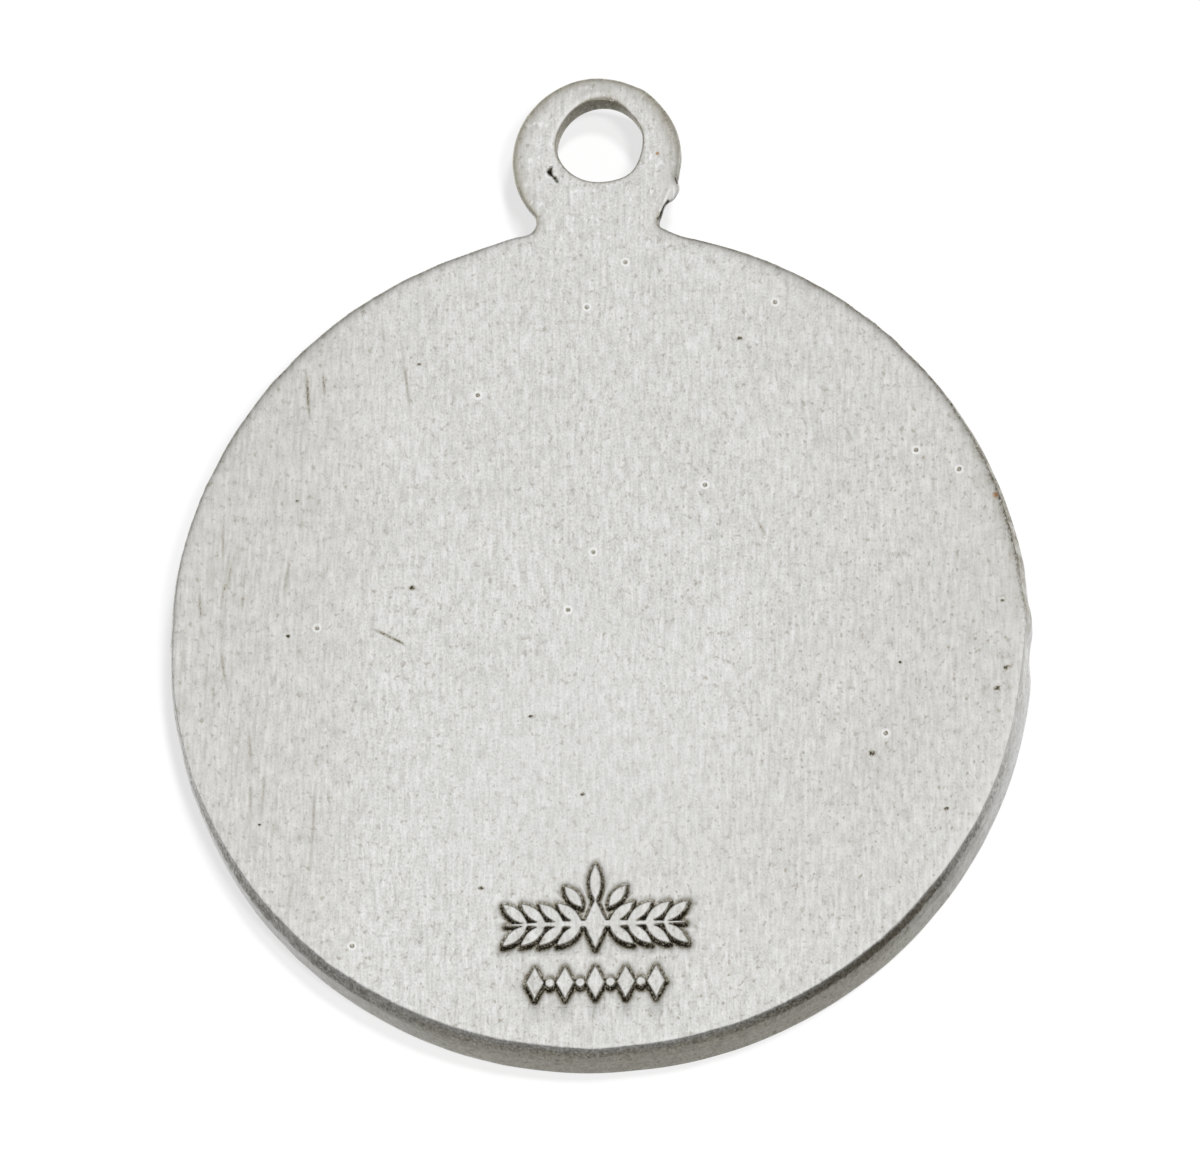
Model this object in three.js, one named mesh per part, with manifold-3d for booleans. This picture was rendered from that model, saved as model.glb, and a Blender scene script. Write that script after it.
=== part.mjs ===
import * as THREE from 'three';
import { mergeVertices } from 'three/addons/utils/BufferGeometryUtils.js';
import Module from 'manifold-3d';

// A round religious medal with its hanging loop, struck and trimmed from one piece of silver.
// Sizes are in millimetres. The origin is the centre of the flat back, +Z points out of the back,
// the loop points to +Y, and the front faces down, so that the medal lies on its front rim.

// Disc
const discRadius = 10.0; // crisp edge of the flat back
const discThickness = 1.85;
const backBevel = 0.04; // worn corner between the back and the edge
const breakDepth = 0.75; // rough band that the trimming left, from the back down
const breakFlare = 0.1; // what the rough band gains in radius on its way down
const landStep = 0.05; // how far the smooth band below stands proud of the rough one
const frontRounding = 0.12; // rounded corner between the edge and the front rim

// Front
const rimWidth = 0.85; // flat of the raised rim, which the medal rests on
const rimSlope = 0.25; // sloping inner side of the rim, in plan
const fieldDepth = 0.5; // how far the field lies behind the rim
const crossHeight = 0.36; // relief of the cross above the field
const crossMargin = 3.0; // clear field above and below the cross
const crossSpan = 7.6;
const crossArm = 1.9; // width of each arm
const crossBarShare = 0.34; // the bar's middle, as a share of the cross's length from its top
const crossBevel = 0.22;

// Hanging loop
const holeRadius = 1.04;
const cheekWall = 1.0; // metal on either side of the hole
const crownWall = 0.57; // metal over the hole
const loopThickness = 0.85; // flush with the back
const loopBite = 0.15; // how far the loop's circle reaches into the disc's
const neckFillet = 0.4; // hollow corner between the loop and the disc
const holeShift = 0.08; // the hole was punched a little to one side
const loopRounding = 0.17; // rounded edges of the loop
const loopRoot = 1.2; // how far the loop's plate runs into the disc
const burrTurn = -25; // degrees round the loop from +X, where trimming left a lump of metal
const burrLength = 0.46; // along the loop's edge
const burrProud = 0.15;
const burrHeight = 0.5;

// Sunk ornament on the back: a leafy sprig about a bud, over a row of lozenges and beads
const markMargin = 1.2; // clear back between the ornament and the edge of the disc
const markDepth = 0.12; // depth of the sunk ground, with the strokes left level with the back
const markGround = 0.11; // width of the sunk ground around each stroke
const lozengeHeight = 0.74;
const lozengeWidth = 0.4;
const lozengePitch = 0.7;
const lozengeCount = 5;
const beadWidth = 0.2; // a bead stands between each two lozenges
const rowGap = 0.45; // clear height between the row and the bud over it
const budHeight = 1.15;
const budWidth = 0.52;
const leafLength = 0.72;
const leafWidth = 0.24;
const leafStart = 0.6; // from the bud's middle to the first leaf's
const leafPitch = 0.42;
const leafPairs = 4; // on either side of the bud
const leafSplay = 40; // degrees that a leaf leans from the stem
const leafRise = 0.26; // from the stem to a leaf's middle
const stemWidth = 0.13;
const crownLength = 0.86; // upright leaf over the bud
const crownSideLength = 0.62; // leaf on either side of it
const crownSideTurn = 38; // degrees from upright
const crownOverlap = 0.03; // how far the upright leaf runs into the bud

// Fineness of the facets
const discSteps = 144;
const roundingSteps = 3;
const loopSteps = 44; // round the loop's outer circle
const holeSteps = 36;
const filletSteps = 6;
const leafSteps = 6; // along each edge of a leaf
const beadSteps = 12;
const burrSteps = 12;

const root = 0.1; // how far a raised form is sunk into the metal that carries it

const silver = new THREE.MeshStandardMaterial({ color: 0xd6d5d1, metalness: 1.0, roughness: 0.45 });

const wasm = await Module();
wasm.setup();

function toSolid(geometry) {
  const bare = geometry.clone();
  bare.deleteAttribute('normal');
  bare.deleteAttribute('uv');
  const merged = mergeVertices(bare, 1e-4);
  const index = merged.index.array;
  const kept = [];
  for (let i = 0; i < index.length; i += 3) {
    const [a, b, c] = [index[i], index[i + 1], index[i + 2]];
    if (a !== b && b !== c && c !== a) kept.push(a, b, c);
  }
  const vertProperties = new Float32Array(merged.attributes.position.array);
  return new wasm.Manifold(new wasm.Mesh({ numProp: 3, vertProperties, triVerts: new Uint32Array(kept) }));
}

function toGeometry(solid) {
  const mesh = solid.getMesh();
  const geometry = new THREE.BufferGeometry();
  geometry.setAttribute('position', new THREE.BufferAttribute(mesh.vertProperties, 3));
  geometry.setIndex(new THREE.BufferAttribute(mesh.triVerts, 1));
  return geometry;
}

// Points along an arc about (x, y), both ends included
function arc(x, y, radius, from, to, steps) {
  const points = [];
  for (let step = 0; step <= steps; step += 1) {
    const turn = from + ((to - from) * step) / steps;
    points.push(new THREE.Vector2(x + radius * Math.cos(turn), y + radius * Math.sin(turn)));
  }
  return points;
}

// A prism of an outline in the XY plane, from z = low to z = high
function prism(shape, low, high) {
  const geometry = new THREE.ExtrudeGeometry(shape, { depth: high - low, bevelEnabled: false });
  geometry.translate(0, 0, low);
  return toSolid(geometry);
}

const landRadius = discRadius + breakFlare + landStep;
const rimOuter = landRadius - frontRounding;
const fieldRadius = rimOuter - rimWidth - rimSlope;
const frontZ = -discThickness;
const fieldZ = frontZ + fieldDepth;

function disc() {
  const profile = [
    new THREE.Vector2(0, fieldZ),
    new THREE.Vector2(fieldRadius, fieldZ),
    new THREE.Vector2(fieldRadius + rimSlope, frontZ),
    new THREE.Vector2(rimOuter, frontZ),
  ];
  for (let step = 1; step <= roundingSteps; step += 1) {
    const turn = (step / roundingSteps) * (Math.PI / 2);
    const r = rimOuter + frontRounding * Math.sin(turn);
    profile.push(new THREE.Vector2(r, frontZ + frontRounding * (1 - Math.cos(turn))));
  }
  profile.push(
    new THREE.Vector2(landRadius, -breakDepth - landStep),
    new THREE.Vector2(discRadius + breakFlare, -breakDepth),
    new THREE.Vector2(discRadius, -backBevel),
    new THREE.Vector2(discRadius - backBevel, 0),
    new THREE.Vector2(0, 0),
  );
  return toSolid(new THREE.LatheGeometry(profile, discSteps).rotateX(Math.PI / 2));
}

// The loop in plan: one circle, joined to the disc's by a hollow corner on each side
const loopRadius = holeRadius + cheekWall;
const loopY = discRadius + loopRadius - loopBite;

function loopPlate() {
  const reach = discRadius + neckFillet;
  const filletY = (reach ** 2 - (loopRadius + neckFillet) ** 2 + loopY ** 2) / (2 * loopY);
  const filletX = Math.sqrt(reach ** 2 - filletY ** 2);
  const discTurn = Math.atan2(filletY, filletX);
  const loopTurn = Math.atan2(filletY - loopY, filletX);
  const tangentX = discRadius * Math.cos(discTurn);
  const tangentY = discRadius * Math.sin(discTurn);
  const outline = new THREE.Shape([
    ...arc(filletX, filletY, neckFillet, discTurn + Math.PI, loopTurn + Math.PI, filletSteps),
    ...arc(0, loopY, loopRadius, loopTurn, Math.PI - loopTurn, loopSteps).slice(1, -1),
    ...arc(-filletX, filletY, neckFillet, -loopTurn, -discTurn, filletSteps),
    new THREE.Vector2(-tangentX, tangentY - loopRoot),
    new THREE.Vector2(tangentX, tangentY - loopRoot),
  ]);
  const holeY = loopY + cheekWall - crownWall;
  outline.holes.push(new THREE.Path(arc(holeShift, holeY, holeRadius, 2 * Math.PI, 0, holeSteps).slice(1)));
  const bevel = Math.min(loopRounding, 0.35 * crownWall, 0.35 * loopThickness);
  const geometry = new THREE.ExtrudeGeometry(outline, {
    depth: loopThickness - 2 * bevel,
    bevelSize: bevel,
    bevelOffset: -bevel,
    bevelThickness: bevel,
    bevelSegments: 2,
  });
  geometry.translate(0, 0, bevel - loopThickness);
  return toSolid(geometry);
}

// The lump on the loop's edge, a flattened ball about half way down the plate
function burr() {
  const turn = THREE.MathUtils.degToRad(burrTurn);
  const ball = new THREE.SphereGeometry(1, burrSteps, burrSteps / 2);
  ball.scale(burrProud, burrLength / 2, burrHeight / 2);
  ball.rotateZ(turn);
  ball.translate(loopRadius * Math.cos(turn), loopY + loopRadius * Math.sin(turn), -loopThickness / 2);
  return toSolid(ball);
}

function cross() {
  const bevel = Math.min(crossBevel, 0.9 * crossHeight);
  const top = fieldRadius - crossMargin;
  const barY = top - crossBarShare * 2 * top;
  const half = crossArm / 2;
  const side = crossSpan / 2;
  const outline = new THREE.Shape();
  outline.moveTo(-half, -top);
  outline.lineTo(half, -top);
  outline.lineTo(half, barY - half);
  outline.lineTo(side, barY - half);
  outline.lineTo(side, barY + half);
  outline.lineTo(half, barY + half);
  outline.lineTo(half, top);
  outline.lineTo(-half, top);
  outline.lineTo(-half, barY + half);
  outline.lineTo(-side, barY + half);
  outline.lineTo(-side, barY - half);
  outline.lineTo(-half, barY - half);
  outline.closePath();
  const geometry = new THREE.ExtrudeGeometry(outline, {
    depth: crossHeight + root - bevel,
    bevelSize: bevel,
    bevelOffset: -bevel,
    bevelThickness: bevel,
    bevelSegments: 1,
  });
  geometry.translate(0, 0, fieldZ - crossHeight + bevel);
  return toSolid(geometry);
}

// A pointed form about its own middle, turned in place. Its edges are bowed on a leaf and straight on a
// lozenge, and spread widens it all round.
function pointedOutline({ x = 0, y, length, width, turn, bowed = true }, spread) {
  const middle = new THREE.Vector2(x, y);
  const steps = bowed ? leafSteps : 2;
  const outline = [];
  for (const edge of [-1, 1]) {
    for (let step = 0; step < steps; step += 1) {
      const along = edge * ((2 * step) / steps - 1);
      const across = bowed ? 1 - along ** 2 : 1 - Math.abs(along);
      outline.push(new THREE.Vector2(along * (length / 2 + spread), -edge * across * (width / 2 + spread)));
    }
  }
  const tilt = THREE.MathUtils.degToRad(turn);
  return new THREE.Shape(outline.map((point) => point.rotateAround(new THREE.Vector2(), tilt).add(middle)));
}

function beadOutline({ x, y, width }, spread) {
  return new THREE.Shape(arc(x, y, width / 2 + spread, 0, 2 * Math.PI, beadSteps).slice(1));
}

function strokeOutline(stroke, spread) {
  return stroke.round ? beadOutline(stroke, spread) : pointedOutline(stroke, spread);
}

// The strokes of the ornament, from the bottom up
function markStrokes() {
  const strokes = [];
  const upright = 90;
  const rowY = markMargin + lozengeHeight / 2 - discRadius;
  for (let i = 0; i < lozengeCount; i += 1) {
    const x = (i - (lozengeCount - 1) / 2) * lozengePitch;
    strokes.push({ x, y: rowY, length: lozengeHeight, width: lozengeWidth, turn: upright, bowed: false });
    if (i > 0) strokes.push({ x: x - lozengePitch / 2, y: rowY, width: beadWidth, round: true });
  }
  const stemY = rowY + lozengeHeight / 2 + rowGap + budHeight / 2;
  const stemLength = 2 * (leafStart + (leafPairs - 0.5) * leafPitch);
  strokes.push({ y: stemY, length: stemLength, width: stemWidth, turn: 0 });
  for (let pair = 0; pair < leafPairs; pair += 1) {
    const x = leafStart + pair * leafPitch;
    for (const side of [-1, 1]) {
      for (const lean of [-1, 1]) {
        const y = stemY + lean * leafRise;
        strokes.push({ x: side * x, y, length: leafLength, width: leafWidth, turn: side * lean * leafSplay });
      }
    }
  }
  strokes.push({ y: stemY, length: budHeight, width: budWidth, turn: upright, bowed: false });
  const crownReach = budHeight / 2 - crownOverlap + crownLength / 2;
  strokes.push({ y: stemY + crownReach, length: crownLength, width: leafWidth, turn: upright });
  const sideReach = crownReach - (crownLength - crownSideLength) / 2 - crownOverlap;
  for (const side of [-1, 1]) {
    const turn = upright + side * crownSideTurn;
    const tilt = THREE.MathUtils.degToRad(turn);
    const x = sideReach * Math.cos(tilt);
    const y = stemY + sideReach * Math.sin(tilt);
    strokes.push({ x, y, length: crownSideLength, width: leafWidth, turn });
  }
  return strokes;
}

function buildMedal() {
  let medal = disc().add(loopPlate()).add(burr()).add(cross());
  const strokes = markStrokes();
  for (const stroke of strokes) {
    medal = medal.subtract(prism(strokeOutline(stroke, markGround), -markDepth, root));
  }
  for (const stroke of strokes) {
    medal = medal.add(prism(strokeOutline(stroke, 0), -markDepth - root, 0));
  }
  return medal;
}

const group = new THREE.Group();
const medal = new THREE.Mesh(toGeometry(buildMedal()), silver);
medal.name = 'medal';
group.add(medal);

export default group;
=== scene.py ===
import math

import bpy
import numpy as np
from mathutils import Matrix, Vector
from mathutils.geometry import delaunay_2d_cdt


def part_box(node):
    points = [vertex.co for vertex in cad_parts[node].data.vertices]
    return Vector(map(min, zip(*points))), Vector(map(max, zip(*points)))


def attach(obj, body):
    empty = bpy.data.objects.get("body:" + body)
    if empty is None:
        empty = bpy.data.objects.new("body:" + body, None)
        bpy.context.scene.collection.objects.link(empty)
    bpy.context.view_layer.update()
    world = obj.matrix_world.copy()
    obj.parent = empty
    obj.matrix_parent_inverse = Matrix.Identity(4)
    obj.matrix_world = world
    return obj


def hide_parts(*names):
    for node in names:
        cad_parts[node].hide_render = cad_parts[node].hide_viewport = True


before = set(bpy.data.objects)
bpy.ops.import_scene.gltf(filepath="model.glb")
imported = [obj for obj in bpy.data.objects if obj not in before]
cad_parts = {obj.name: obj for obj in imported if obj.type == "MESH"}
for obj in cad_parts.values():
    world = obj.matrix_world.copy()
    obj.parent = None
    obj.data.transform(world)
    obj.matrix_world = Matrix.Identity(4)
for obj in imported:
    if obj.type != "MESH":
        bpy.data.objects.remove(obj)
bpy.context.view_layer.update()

# Lengths are in millimetres until the mesh is written, and z = 0 is the flat back, which faces up.
MM = 0.001
LOW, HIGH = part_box("medal")

# Disc and loop, as in the frame
THICKNESS = -LOW.z / MM
LAND_RADIUS = HIGH.x / MM
DISC_RADIUS = 10.0
LOOP_RADIUS = 2.04
LOOP_Y = HIGH.y / MM - LOOP_RADIUS
LOOP_THICKNESS = 0.85
NECK_FILLET = 0.4
HOLE_RADIUS = 1.04
HOLE_MIDDLE = (0.08, LOOP_Y + 0.43)
FRONT_ROUNDING = 0.12
RIM_WIDTH = 0.85
RIM_SLOPE = 0.25
FIELD_DEPTH = 0.5
FIELD_RADIUS = LAND_RADIUS - FRONT_ROUNDING - RIM_WIDTH - RIM_SLOPE
FIELD_Z = FIELD_DEPTH - THICKNESS

# Columns round the outline
FILLET_COLUMNS = 14
LOOP_COLUMNS = 150
DISC_COLUMNS = 760
NECK_COLUMNS = 26
HOLE_COLUMNS = 96


def smooth(x):
    x = np.clip(x, 0.0, 1.0)
    return x * x * (3.0 - 2.0 * x)


def hump(x, middle, width):
    return np.exp(-(((x - middle) / width) ** 2))


def turned(degrees, start):
    """Degrees from a start, between -180 and 180."""
    return (degrees - start + 180) % 360 - 180


def about(degrees, direction, width):
    """1 in a direction, falling away to both sides of it."""
    return hump(turned(degrees, direction), 0, width)


def table(columns, *rows):
    """Rows as dictionaries, by the names of the columns."""
    return [dict(zip(columns, row)) for row in rows]


def lattice_noise(u, v, seed):
    """Smooth noise between -1 and 1 on a grid of unit cells, the same for the same seed."""
    size = 256
    grid = np.random.default_rng(seed).uniform(-1.0, 1.0, (size, size))
    u, v = np.asarray(u, float), np.asarray(v, float)
    iu, iv = np.floor(u).astype(int), np.floor(v).astype(int)
    fu, fv = smooth(u - iu), smooth(v - iv)

    def at(a, b):
        return grid[(iu + a) % size, (iv + b) % size]

    near = at(0, 0) * (1 - fu) + at(1, 0) * fu
    far = at(0, 1) * (1 - fu) + at(1, 1) * fu
    return near * (1 - fv) + far * fv


# Outline

def arc_points(centre, radius, start, end, count):
    turn = np.linspace(start, end, count)
    return np.stack([centre[0] + radius * np.cos(turn), centre[1] + radius * np.sin(turn)], 1)


def medal_outline():
    """The back's outline from the right end of the neck, over the loop and round the disc: points, outward
    directions, and how much each point belongs to the loop."""
    reach = DISC_RADIUS + NECK_FILLET
    fillet_y = (reach**2 - (LOOP_RADIUS + NECK_FILLET) ** 2 + LOOP_Y**2) / (2 * LOOP_Y)
    fillet_x = math.sqrt(reach**2 - fillet_y**2)
    disc_turn = math.atan2(fillet_y, fillet_x)
    loop_turn = math.atan2(fillet_y - LOOP_Y, fillet_x)
    turns = (disc_turn + math.pi, loop_turn + math.pi)
    right = arc_points((fillet_x, fillet_y), NECK_FILLET, *turns, FILLET_COLUMNS)
    loop = arc_points((0, LOOP_Y), LOOP_RADIUS, loop_turn, math.pi - loop_turn, LOOP_COLUMNS)[1:-1]
    left = right[::-1] * (-1, 1)
    turns = (math.pi - disc_turn, 2 * math.pi + disc_turn)
    disc = arc_points((0, 0), DISC_RADIUS, *turns, DISC_COLUMNS)[1:-1]
    out_right = ((fillet_x, fillet_y) - right) / NECK_FILLET
    out_left = out_right[::-1] * (-1, 1)
    out_loop = (loop - (0, LOOP_Y)) / LOOP_RADIUS
    out_disc = disc / DISC_RADIUS
    points = np.concatenate([right, loop, left, disc])
    out = np.concatenate([out_right, out_loop, out_left, out_disc])
    weights = []
    for delay in (0.0, 0.45):
        blend = smooth((np.linspace(0, 1, FILLET_COLUMNS) - delay) / (1 - delay))
        weights.append(np.concatenate([blend, np.ones(len(loop)), blend[::-1], np.zeros(len(disc))]))
    return points, out, weights[0], weights[1], disc_turn


OUTLINE, OUT, OF_LOOP, OF_LOOP_BELOW, NECK_TURN = medal_outline()
COLUMNS = len(OUTLINE)
LEFT_END = 2 * FILLET_COLUMNS + LOOP_COLUMNS - 3
TURN = np.arctan2(OUTLINE[:, 1], OUTLINE[:, 0])
LOOP_TURN = np.arctan2(OUTLINE[:, 1] - LOOP_Y, OUTLINE[:, 0])

# Where hand trimming left the edge out of true: degrees round the disc, width in degrees, mm outwards
FACE_FAULTS = table(
    ("at", "width", "out"),
    (14.0, 10.0, -0.045), (-0.5, 4.0, 0.09), (46.0, 6.0, -0.015), (81.0, 1.9, 0.13), (100.5, 3.5, 0.08),
    (152.0, 9.0, -0.012), (178.0, 8.0, -0.03), (-128.0, 1.2, 0.025), (-90.0, 2.5, 0.035),
    (-64.0, 26.0, 0.038), (-25.0, 9.0, 0.045), (92.0, 55.0, 0.048),
)
LAND_FAULTS = table(
    ("at", "width", "out"),
    (178.0, 9.0, -0.06), (-167.0, 10.0, -0.075), (-152.0, 7.0, -0.03), (-109.0, 14.0, 0.035),
    (-85.5, 4.0, -0.035), (-29.0, 16.0, -0.03), (-2.0, 2.4, -0.155), (2.0, 1.6, 0.03),
    (5.5, 2.6, -0.06), (-12.5, 5.0, -0.03), (18.0, 9.0, -0.03), (79.5, 3.5, 0.05), (100.5, 3.5, 0.05),
)
# The same for the loop, by degrees round its middle; the last is the lump beside the neck, below the face
LOOP_FAULTS = table(
    ("at", "width", "out"),
    (175.0, 55.0, -0.045), (100.0, 22.0, 0.015), (55.0, 7.0, 0.03), (-8.0, 10.0, -0.04),
    (-44.5, 5.5, 0.11),
)
BURR = {"at": -26.5, "width": 7.8, "out": 0.13}


def faults(turn, rows):
    """How far an edge lies outside its true line, by a table of faults."""
    degrees = np.degrees(turn)
    total = np.zeros_like(degrees)
    for fault in rows:
        total += fault["out"] * about(degrees, fault["at"], fault["width"])
    return total


# Sunk ornament on the back: a leafy sprig about a bud, over a row of lozenges and beads
MARK_MARGIN = 1.2
MARK_DEPTH = 0.14
MARK_GROUND = 0.085
LOZENGE_HEIGHT, LOZENGE_WIDTH, LOZENGE_PITCH, LOZENGE_COUNT = 0.74, 0.4, 0.7, 5
BEAD_WIDTH = 0.2
ROW_GAP = 0.45
BUD_HEIGHT, BUD_WIDTH = 1.15, 0.52
LEAF_LENGTH, LEAF_WIDTH, LEAF_START, LEAF_PITCH, LEAF_PAIRS = 0.72, 0.24, 0.6, 0.42, 4
LEAF_SPLAY, LEAF_RISE = 40.0, 0.26
STEM_WIDTH = 0.13
CROWN_LENGTH, CROWN_SIDE_LENGTH, CROWN_SIDE_TURN, CROWN_OVERLAP = 0.86, 0.62, 38.0, 0.03


def stroke(x, y, length, width, turn, form):
    return {"x": x, "y": y, "length": length, "width": width, "turn": math.radians(turn), "form": form}


def mark_strokes():
    strokes = []
    row_y = MARK_MARGIN + LOZENGE_HEIGHT / 2 - DISC_RADIUS
    for i in range(LOZENGE_COUNT):
        x = (i - (LOZENGE_COUNT - 1) / 2) * LOZENGE_PITCH
        strokes.append(stroke(x, row_y, LOZENGE_HEIGHT, LOZENGE_WIDTH, 90, "straight"))
        if i > 0:
            strokes.append(stroke(x - LOZENGE_PITCH / 2, row_y, BEAD_WIDTH, BEAD_WIDTH, 0, "round"))
    stem_y = row_y + LOZENGE_HEIGHT / 2 + ROW_GAP + BUD_HEIGHT / 2
    stem_length = 2 * (LEAF_START + (LEAF_PAIRS - 0.5) * LEAF_PITCH)
    strokes.append(stroke(0, stem_y, stem_length, STEM_WIDTH, 0, "bowed"))
    for pair in range(LEAF_PAIRS):
        x = LEAF_START + pair * LEAF_PITCH
        for side in (-1, 1):
            for lean in (-1, 1):
                y = stem_y + lean * LEAF_RISE
                splay = side * lean * LEAF_SPLAY
                strokes.append(stroke(side * x, y, LEAF_LENGTH, LEAF_WIDTH, splay, "bowed"))
    strokes.append(stroke(0, stem_y, BUD_HEIGHT, BUD_WIDTH, 90, "straight"))
    crown_reach = BUD_HEIGHT / 2 - CROWN_OVERLAP + CROWN_LENGTH / 2
    strokes.append(stroke(0, stem_y + crown_reach, CROWN_LENGTH, LEAF_WIDTH, 90, "bowed"))
    side_reach = crown_reach - (CROWN_LENGTH - CROWN_SIDE_LENGTH) / 2 - CROWN_OVERLAP
    for side in (-1, 1):
        turn = 90 + side * CROWN_SIDE_TURN
        x = side_reach * math.cos(math.radians(turn))
        y = stem_y + side_reach * math.sin(math.radians(turn))
        strokes.append(stroke(x, y, CROWN_SIDE_LENGTH, LEAF_WIDTH, turn, "bowed"))
    return strokes


STROKES = mark_strokes()

# Areas of the back that get their own grid of points
MARK_BOX = ((-2.55, -9.05), (2.55, -5.35))
GOUGE_BOX = ((-1.35, 11.15), (-0.75, 11.9))
LUMP_BOX = ((1.25, 10.4), (1.8, 11.35))
LOOP_BOX = ((-2.1, 10.3), (2.1, 14.0))
BACK_BOX = ((-10, -10), (10, 14))


def stroke_distance(x, y, s):
    """Roughly how far a point lies outside a stroke; negative inside it."""
    dx, dy = x - s["x"], y - s["y"]
    if s["form"] == "round":
        return np.hypot(dx, dy) - s["width"] / 2
    along = np.abs(dx * math.cos(s["turn"]) + dy * math.sin(s["turn"]))
    across = np.abs(dy * math.cos(s["turn"]) - dx * math.sin(s["turn"]))
    a, b = s["length"] / 2, s["width"] / 2
    share = np.clip(along / a, 0, 1)
    if s["form"] == "bowed":
        edge, slope = b * (1 - share**2), 2 * b / a * share
    else:
        edge, slope = b * (1 - share), b / a
    side = (across - edge) / np.sqrt(1 + slope**2)
    tip = np.hypot(along - a, across)
    return np.where(along > a, tip, side)


# Small faults of the back, in millimetres from its middle, as the photograph shows them
PITS = table(
    ("x", "y"),
    (0.71, 9.2), (-0.2, 8.09), (-2.78, 5.95), (4.26, 8.09), (7.54, 4.3), (8.54, 3.8), (2.58, 3.57),
    (-0.05, 1.98), (-0.64, 0.57), (-6.53, 0.27), (6.75, -2.62), (-5.63, -7.46),
)
PIT_RADIUS, PIT_DEPTH, PIT_LIP = 0.032, 0.014, 0.002
SPECKS = table(
    ("x", "y", "radius"),
    (-4.31, 1.2, 0.065), (-7.21, 0.09, 0.038), (-7.83, -4.5, 0.032), (-1.5, -2.01, 0.05),
    (-0.29, -3.93, 0.045), (-2.65, -6.14, 0.045), (-7.04, 3.43, 0.04), (-4.18, 6.77, 0.04),
    (3.42, 7.21, 0.05), (9.34, -1.59, 0.06), (9.55, -1.09, 0.045), (9.5, 0.55, 0.04),
    (6.42, -3.1, 0.06), (8.12, -4.46, 0.045), (7.1, -0.9, 0.035),
)
SCRATCHES = table(
    ("from", "to", "dark"),
    ((-5.14, 0.18), (-4.48, -0.17), 0.95), ((-6.86, 6.62), (-6.77, 5.49), 0.5),
    ((-6.47, 6.71), (-6.41, 5.93), 0.32), ((-5.07, 7.78), (-4.99, 7.0), 0.22),
    ((-4.6, 7.25), (-4.37, 5.53), 0.32), ((5.79, 5.19), (6.06, 4.54), 0.22),
    ((3.82, 2.64), (3.96, 2.34), 0.3), ((-8.6, 2.28), (-8.8, 0.84), 0.3),
    ((-8.52, 2.16), (-8.69, 1.15), 0.26), ((-8.78, 3.0), (-8.78, 1.95), 0.22),
    ((-9.33, 1.3), (-9.24, 0.12), 0.3), ((-7.2, 1.96), (-7.34, 1.15), 0.22),
    ((-8.25, 1.62), (-8.31, 0.66), 0.22), ((-8.8, -0.2), (-8.66, -1.08), 0.26),
    ((-8.98, -0.6), (-8.93, -1.72), 0.19), ((-8.14, -1.65), (-8.02, -3.18), 0.26),
    ((-8.02, -3.18), (-8.06, -4.46), 0.22), ((-7.69, -2.7), (-7.76, -4.22), 0.22),
    ((-7.42, -2.86), (-7.44, -4.47), 0.19), ((-6.53, -3.67), (-6.63, -5.6), 0.26),
    ((-7.03, -5.85), (-7.1, -6.42), 0.19),
)
SCRATCH_WIDTH, SCRATCH_DEPTH = 0.03, 0.006
GOUGE = table(
    ("at", "width"),
    ((-1.05, 11.67), 0.022), ((-1.1, 11.57), 0.045), ((-1.07, 11.5), 0.03), ((-1.02, 11.44), 0.012),
    ((-0.97, 11.4), 0.028), ((-0.93, 11.33), 0.02), ((-0.9, 11.27), 0.008),
)
GOUGE_DEPTH = 0.07
# A painted highlight on the lump beside the neck
LUMP_HIGHLIGHT = {"x": 1.68, "y": 11.10, "radius": 0.1}
# Painted highlights along ridges and painted shade along creases, about the lump beside the neck
RIDGE_HIGHLIGHTS = table(
    ("from", "to", "width"),
    ((1.54, 10.49), (1.65, 10.74), 0.034), ((1.65, 10.74), (1.77, 11.02), 0.034),
    ((1.84, 10.76), (1.87, 10.94), 0.03), ((1.87, 10.94), (1.86, 11.12), 0.03),
)
CREASE_SHADES = table(
    ("from", "to", "width"),
    ((1.73, 10.74), (1.65, 10.59), 0.045), ((1.65, 10.59), (1.58, 10.44), 0.05),
    ((1.58, 10.44), (1.52, 10.26), 0.045), ((1.52, 10.26), (1.5, 10.16), 0.03),
    ((1.9, 11.32), (1.94, 11.19), 0.028),
)
RUST = table(
    ("x", "y", "radius"),
    (9.4, 3.16, 0.11), (1.48, 11.94, 0.06),
)


def segment_distance(x, y, a, b):
    ax, ay = a
    bx, by = b[0] - ax, b[1] - ay
    share = np.clip(((x - ax) * bx + (y - ay) * by) / (bx * bx + by * by), 0, 1)
    return np.hypot(x - ax - share * bx, y - ay - share * by), share


def ornament(x, y):
    """Depth of the ground round the ornament, and its darkening: painted shade under each stroke, patina
    round the strokes and in corners.
    """
    nearest = np.full(np.shape(x), 9.0)
    under = np.full(np.shape(x), 9.0)
    crowd = np.zeros(np.shape(x))
    for s in STROKES:
        away = stroke_distance(x, y, s)
        nearest = np.minimum(nearest, away)
        under = np.minimum(under, stroke_distance(x, y + 0.05, s))
        crowd += np.exp(-np.maximum(away, 0) / 0.075)
    wall = smooth(nearest / 0.035)
    fade = np.exp(-np.maximum(np.minimum(nearest, under), 0) / MARK_GROUND)
    patchy = 1 + 0.25 * lattice_noise(x * 5.1, y * 5.1, 5)
    crowd = smooth((crowd - 0.75) / 1.3)
    # Painted shade below each stroke, the strongest part; a faint patina halo round the strokes and patina
    # in crowded corners
    dark = wall * (0.95 * np.exp(-((np.maximum(under, 0) / 0.085) ** 2)) + 0.12 * fade + 0.6 * crowd)
    return MARK_DEPTH * wall * fade, dark * patchy


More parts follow.
